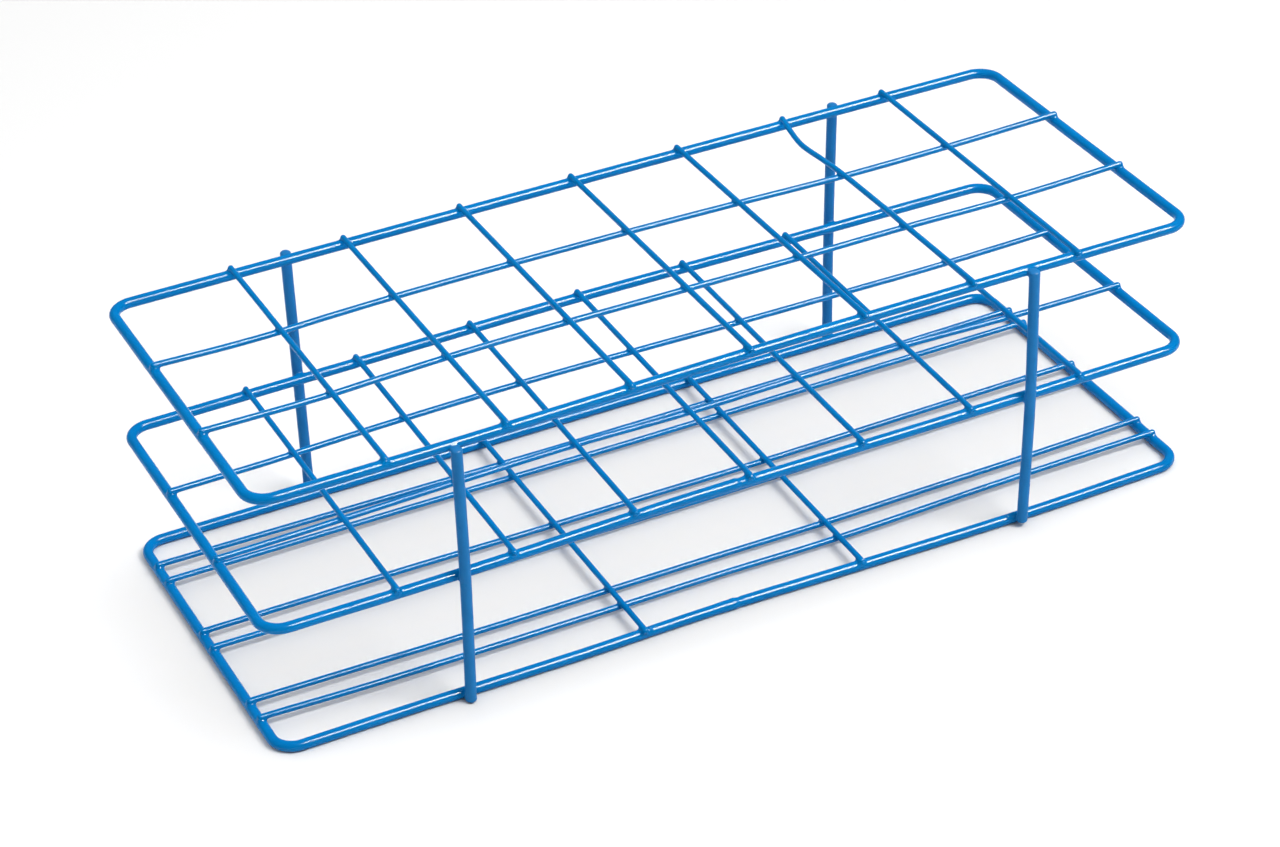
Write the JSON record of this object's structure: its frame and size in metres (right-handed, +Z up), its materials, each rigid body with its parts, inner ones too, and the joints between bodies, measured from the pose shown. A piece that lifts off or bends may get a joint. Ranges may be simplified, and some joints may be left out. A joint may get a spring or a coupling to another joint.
{
  "type": "test tube rack",
  "caption": "Open wire test tube rack: rounded wire frames one above the other, with grids of thin cross and long wires that part the tube places, joined by welded posts; glossy dipped coating.",
  "frame": {"origin": "on the surface that the rack stands on, under the middle of its frames", "axes": "+X along the length of the rack to its right end, +Y across it from the front to the rear, +Z up"},
  "size_m": [0.2901, 0.1245, 0.0864],
  "materials": {
    "frame_coating": "glossy dipped plastic coating over the thick frame wire, strong blue",
    "wire_coating": "glossy dipped plastic coating over the thin grid wire, strong blue",
    "post_coating": "the same coating over the posts, thinner and a little duller, strong blue"
  },
  "bodies": {
    "root": {"bottom_frame": "frame_coating", "bottom_cross_wire_1": "wire_coating", "bottom_cross_wire_2": "wire_coating", "bottom_long_wire_1": "wire_coating", "bottom_long_wire_2": "wire_coating", "bottom_long_wire_3": "wire_coating", "bottom_long_wire_4": "wire_coating", "bottom_long_wire_5": "wire_coating", "bottom_long_wire_6": "wire_coating", "middle_frame": "frame_coating", "middle_cross_wire_1": "wire_coating", "middle_cross_wire_2": "wire_coating", "middle_cross_wire_3": "wire_coating", "middle_cross_wire_4": "wire_coating", "middle_cross_wire_5": "wire_coating", "middle_cross_wire_6": "wire_coating", "middle_cross_wire_7": "wire_coating", "middle_long_wire_1": "wire_coating", "middle_long_wire_2": "wire_coating", "top_frame": "frame_coating", "top_cross_wire_1": "wire_coating", "top_cross_wire_2": "wire_coating", "top_cross_wire_3": "wire_coating", "top_cross_wire_4": "wire_coating", "top_cross_wire_5": "wire_coating", "top_cross_wire_6": "wire_coating", "top_cross_wire_7": "wire_coating", "top_long_wire_1": "wire_coating", "top_long_wire_2": "wire_coating", "post_front_left": "post_coating", "post_front_right": "post_coating", "post_rear_left": "post_coating", "post_rear_right": "post_coating"}
  },
  "joints": []
}
